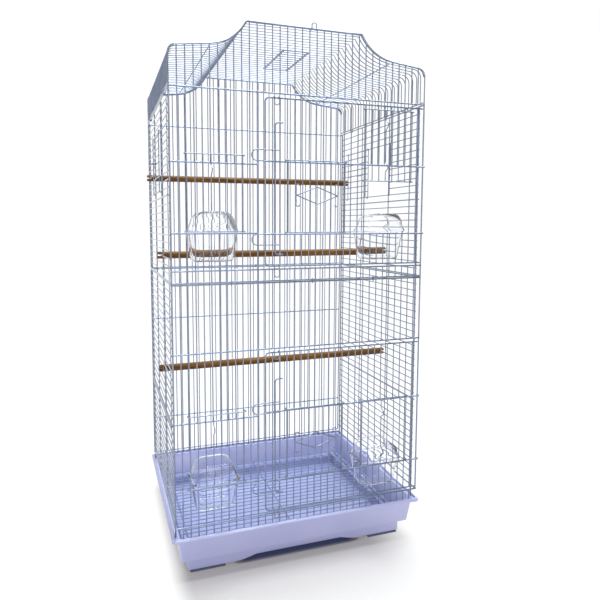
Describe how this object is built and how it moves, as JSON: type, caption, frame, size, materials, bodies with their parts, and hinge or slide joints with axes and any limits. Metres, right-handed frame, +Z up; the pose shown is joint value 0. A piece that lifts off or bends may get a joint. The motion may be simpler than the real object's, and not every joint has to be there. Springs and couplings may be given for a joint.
{
  "type": "bird cage",
  "caption": "Tall free-standing wire bird cage with a stepped pagoda roof, on a moulded tray and base, with hinged front doors, lifting feeder doors and sliding nest doors.",
  "frame": {"origin": "on the floor, under the middle of the whole cage's width and depth", "axes": "+Z up, the front with its doors faces -Y, +X to the right seen from the front"},
  "size_m": [0.4712, 0.3628, 0.9083],
  "materials": {
    "wire": "gloss enamel on wire",
    "frame_wire": "gloss enamel on thin wire",
    "tray_plastic": "satin moulded",
    "perch_wood": "stained and varnished",
    "cup_plastic": "clear moulded plastic",
    "pad_rubber": "matt"
  },
  "bodies": {
    "cage": {"base_skirt": "tray_plastic", "foot_pad_1": "pad_rubber", "foot_pad_2": "pad_rubber", "foot_pad_3": "pad_rubber", "foot_pad_4": "pad_rubber", "tray": "tray_plastic", "floor_grille": "wire", "lower_front_panel": "wire", "upper_front_panel": "wire", "lower_back_panel": "wire", "upper_back_panel": "wire", "lower_left_panel": "wire", "lower_right_panel": "wire", "upper_left_panel": "wire", "upper_right_panel": "wire", "roof_mesh": "wire", "upper_back_perch": "perch_wood", "upper_middle_perch": "perch_wood", "lower_perch": "perch_wood", "front_seam_clip_1": "frame_wire", "front_seam_clip_2": "frame_wire", "front_seam_clip_3": "frame_wire", "back_seam_clip_1": "frame_wire", "back_seam_clip_2": "frame_wire", "back_seam_clip_3": "frame_wire", "front_left_roof_clip": "frame_wire", "front_right_roof_clip": "frame_wire", "back_left_roof_clip": "frame_wire", "back_right_roof_clip": "frame_wire"},
    "lower_main_door": {"lower_main_door": "wire"},
    "lower_lock_rod": {"lower_lock_rod": "frame_wire"},
    "lower_door_foot_clip": {"lower_door_foot_clip": "frame_wire"},
    "lower_door_top_clip": {"lower_door_top_clip": "frame_wire"},
    "lower_centre_door": {"lower_centre_door": "wire", "lower_ornament": "wire"},
    "upper_main_door": {"upper_main_door": "wire"},
    "upper_lock_rod": {"upper_lock_rod": "frame_wire"},
    "upper_door_foot_clip": {"upper_door_foot_clip": "frame_wire"},
    "upper_door_top_clip": {"upper_door_top_clip": "frame_wire"},
    "upper_centre_door": {"upper_centre_door": "wire", "upper_ornament": "wire"},
    "lower_left_feeder_door": {"lower_left_feeder_door": "wire"},
    "lower_left_cup": {"lower_left_cup": "cup_plastic", "lower_left_hood": "cup_plastic"},
    "upper_left_feeder_door": {"upper_left_feeder_door": "wire"},
    "upper_left_cup": {"upper_left_cup": "cup_plastic", "upper_left_hood": "cup_plastic"},
    "lower_right_feeder_door": {"lower_right_feeder_door": "wire"},
    "lower_right_cup": {"lower_right_cup": "cup_plastic", "lower_right_hood": "cup_plastic"},
    "upper_right_feeder_door": {"upper_right_feeder_door": "wire"},
    "upper_right_cup": {"upper_right_cup": "cup_plastic", "upper_right_hood": "cup_plastic"},
    "left_nest_door": {"left_nest_door": "wire"},
    "right_nest_door": {"right_nest_door": "wire"},
    "roof_door": {"roof_door": "wire"},
    "roof_hanger": {"roof_hanger": "frame_wire"}
  },
  "joints": [
    {"name": "lower_door_hinge", "type": "hinge", "parent": "cage", "child": "lower_main_door", "pos_m": [0.22225, -0.16803, 0.23385], "axis": [0, 0, 1], "range_deg": [0, 170]},
    {"name": "lower_lock_rod_slide", "type": "slide", "parent": "lower_main_door", "child": "lower_lock_rod", "axis": [0, 0, 1], "range_m": [-0.025, 0.001]},
    {"name": "lower_door_foot_clip_pivot", "type": "hinge", "parent": "lower_main_door", "child": "lower_door_foot_clip", "pos_m": [-0.0508, -0.16803, 0.097], "axis": [-1, 0, 0], "range_deg": [0, 100]},
    {"name": "lower_door_top_clip_pivot", "type": "hinge", "parent": "lower_main_door", "child": "lower_door_top_clip", "pos_m": [-0.0508, -0.16803, 0.3707], "axis": [-1, 0, 0], "range_deg": [0, 100]},
    {"name": "lower_centre_door_slide", "type": "slide", "parent": "lower_main_door", "child": "lower_centre_door", "axis": [0, 0, 1], "range_m": [0, 0.095]},
    {"name": "upper_door_hinge", "type": "hinge", "parent": "cage", "child": "upper_main_door", "pos_m": [0.22225, -0.16803, 0.65], "axis": [0, 0, 1], "range_deg": [0, 170]},
    {"name": "upper_lock_rod_slide", "type": "slide", "parent": "upper_main_door", "child": "upper_lock_rod", "axis": [0, 0, 1], "range_m": [-0.012, 0.0125]},
    {"name": "upper_door_foot_clip_pivot", "type": "hinge", "parent": "upper_main_door", "child": "upper_door_foot_clip", "pos_m": [-0.0508, -0.16803, 0.515], "axis": [-1, 0, 0], "range_deg": [0, 100]},
    {"name": "upper_door_top_clip_pivot", "type": "hinge", "parent": "upper_main_door", "child": "upper_door_top_clip", "pos_m": [-0.0508, -0.16803, 0.785], "axis": [-1, 0, 0], "range_deg": [0, 100]},
    {"name": "upper_centre_door_slide", "type": "slide", "parent": "upper_main_door", "child": "upper_centre_door", "axis": [0, 0, 1], "range_m": [0, 0.095]},
    {"name": "lower_left_feeder_door_slide", "type": "slide", "parent": "cage", "child": "lower_left_feeder_door", "axis": [0, 0, 1], "range_m": [0, 0.088]},
    {"name": "lower_left_cup_lift", "type": "slide", "parent": "cage", "child": "lower_left_cup", "axis": [0, 0, 1], "range_m": [0, 0.012]},
    {"name": "upper_left_feeder_door_slide", "type": "slide", "parent": "cage", "child": "upper_left_feeder_door", "axis": [0, 0, 1], "range_m": [0, 0.088]},
    {"name": "upper_left_cup_lift", "type": "slide", "parent": "cage", "child": "upper_left_cup", "axis": [0, 0, 1], "range_m": [0, 0.012]},
    {"name": "lower_right_feeder_door_slide", "type": "slide", "parent": "lower_main_door", "child": "lower_right_feeder_door", "axis": [0, 0, 1], "range_m": [0, 0.088]},
    {"name": "lower_right_cup_lift", "type": "slide", "parent": "lower_main_door", "child": "lower_right_cup", "axis": [0, 0, 1], "range_m": [0, 0.012]},
    {"name": "upper_right_feeder_door_slide", "type": "slide", "parent": "upper_main_door", "child": "upper_right_feeder_door", "axis": [0, 0, 1], "range_m": [-0.087, 0]},
    {"name": "upper_right_cup_lift", "type": "slide", "parent": "upper_main_door", "child": "upper_right_cup", "axis": [0, 0, 1], "range_m": [0, 0.012]},
    {"name": "left_nest_door_slide", "type": "slide", "parent": "cage", "child": "left_nest_door", "axis": [0, 1, 0], "range_m": [0, 0.094]},
    {"name": "right_nest_door_slide", "type": "slide", "parent": "cage", "child": "right_nest_door", "axis": [0, 1, 0], "range_m": [-0.094, 0]},
    {"name": "roof_door_hinge", "type": "hinge", "parent": "cage", "child": "roof_door", "pos_m": [0, 0.00342, 0.899], "axis": [0, -1, 0], "range_deg": [0, 110]},
    {"name": "roof_hanger_pivot", "type": "hinge", "parent": "cage", "child": "roof_hanger", "pos_m": [0.0127, -0.16803, 0.899], "axis": [1, 0, 0], "range_deg": [-90, 90]}
  ]
}
